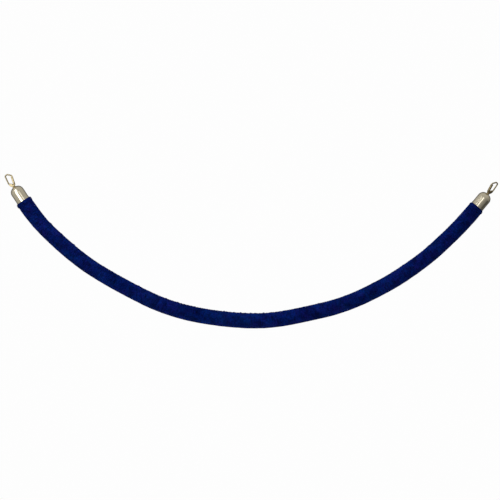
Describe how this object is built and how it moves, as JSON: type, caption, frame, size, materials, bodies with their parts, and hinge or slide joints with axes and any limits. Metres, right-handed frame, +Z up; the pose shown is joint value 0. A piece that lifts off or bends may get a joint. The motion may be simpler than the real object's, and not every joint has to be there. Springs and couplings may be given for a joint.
{
  "type": "velvet barrier rope",
  "caption": "Padded velvet rope for a crowd barrier, hanging in a shallow curve, with a domed metal cap and a swivelling snap hook on each end.",
  "frame": {"origin": "the seat of the left hook: the point on the cap's axis inside the top of the hook's loop where the post's ring bears", "axes": "+Z up; +X from the left end to the right end; the rope hangs in the XZ plane and +Y is away from the viewer"},
  "size_m": [1.2484, 0.0412, 0.3909],
  "materials": {
    "velvet": "deep royal to navy blue velvet with a mottled nap",
    "foam": "soft cream wadding",
    "core_cord": "undyed braided cord",
    "wood_plug": "plain turned beech",
    "ferrule_metal": "plain",
    "cap_metal": "polished pale champagne plate",
    "screw_metal": "polished pale champagne plate",
    "washer_metal": "plain zinc",
    "nut_metal": "plain zinc",
    "hook_metal": "polished warm brass plate on a casting",
    "gate_metal": "polished warm brass plate on a casting",
    "pin_metal": "darkened brass",
    "spring_steel": "bright wire"
  },
  "bodies": {
    "rope": {"velvet_sleeve": "velvet", "foam_core": "foam", "load_cord": "core_cord", "left_hem": "velvet", "left_end_plug": "wood_plug", "left_cord_ferrule": "ferrule_metal", "left_cap": "cap_metal", "left_cap_screws": "screw_metal", "right_hem": "velvet", "right_end_plug": "wood_plug", "right_cord_ferrule": "ferrule_metal", "right_cap": "cap_metal", "right_cap_screws": "screw_metal"},
    "left_hook_body": {"left_hook": "hook_metal", "left_gate_pin": "pin_metal", "left_swivel_nut": "nut_metal", "left_swivel_washer": "washer_metal"},
    "right_hook_body": {"right_hook": "hook_metal", "right_gate_pin": "pin_metal", "right_swivel_nut": "nut_metal", "right_swivel_washer": "washer_metal"},
    "left_gate_body": {"left_gate": "gate_metal", "left_gate_spring": "spring_steel"},
    "right_gate_body": {"right_gate": "gate_metal", "right_gate_spring": "spring_steel"}
  },
  "joints": [
    {"name": "left_hook_swivel", "type": "hinge", "parent": "rope", "child": "left_hook_body", "pos_m": [0.01918, 0, -0.02892], "axis": [-0.5527, 0, 0.8334], "continuous": true},
    {"name": "left_gate_hinge", "type": "hinge", "parent": "left_hook_body", "child": "left_gate_body", "pos_m": [0.01893, -0.00122, -0.02033], "axis": [-0.2157, -0.9659, -0.143], "range_deg": [0, 36], "stiffness_Nm_per_rad": 0.02, "springref_deg": -20.05},
    {"name": "right_hook_swivel", "type": "hinge", "parent": "rope", "child": "right_hook_body", "pos_m": [1.21672, 0, -0.0461], "axis": [0.6422, 0, 0.7666], "continuous": true},
    {"name": "right_gate_hinge", "type": "hinge", "parent": "right_hook_body", "child": "right_gate_body", "pos_m": [1.21886, -0.00332, -0.03837], "axis": [-0.542, 0.7071, 0.4541], "range_deg": [0, 36], "stiffness_Nm_per_rad": 0.02, "springref_deg": -20.05}
  ]
}
